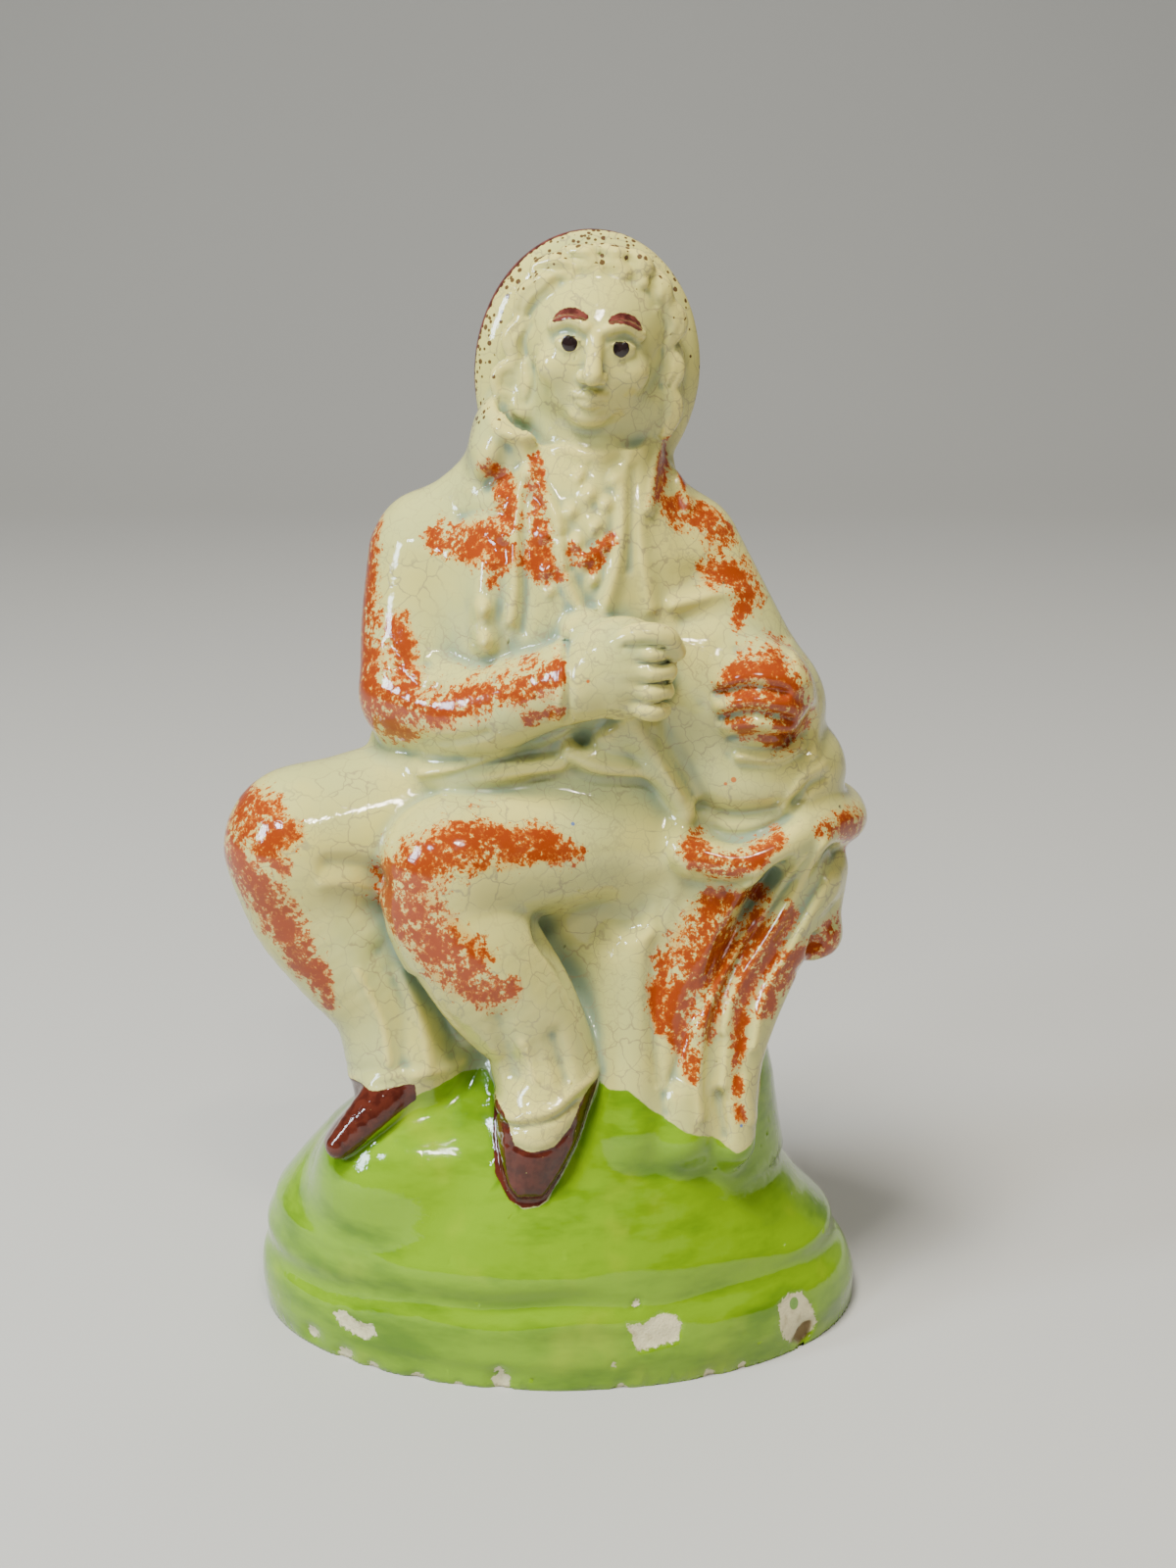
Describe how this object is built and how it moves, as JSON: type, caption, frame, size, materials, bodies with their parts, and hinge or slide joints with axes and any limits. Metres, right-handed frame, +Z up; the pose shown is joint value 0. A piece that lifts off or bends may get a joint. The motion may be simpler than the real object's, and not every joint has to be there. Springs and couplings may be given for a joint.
{
  "type": "seated earthenware figure",
  "caption": "Glazed earthenware ornament of a person in coat, hat and wide trousers seated on a tree stump, cast with its oval grassy mound.",
  "frame": {"origin": "centre of the bounding box, on the table under the foot rim", "axes": "+Z up along the height, -Y towards the viewer that the figure faces, +X to that viewer's right"},
  "size_m": [0.0964, 0.0672, 0.1649],
  "materials": {
    "glazed_earthenware": null
  },
  "bodies": {
    "root": {"seated_figure": "glazed_earthenware"}
  },
  "joints": []
}
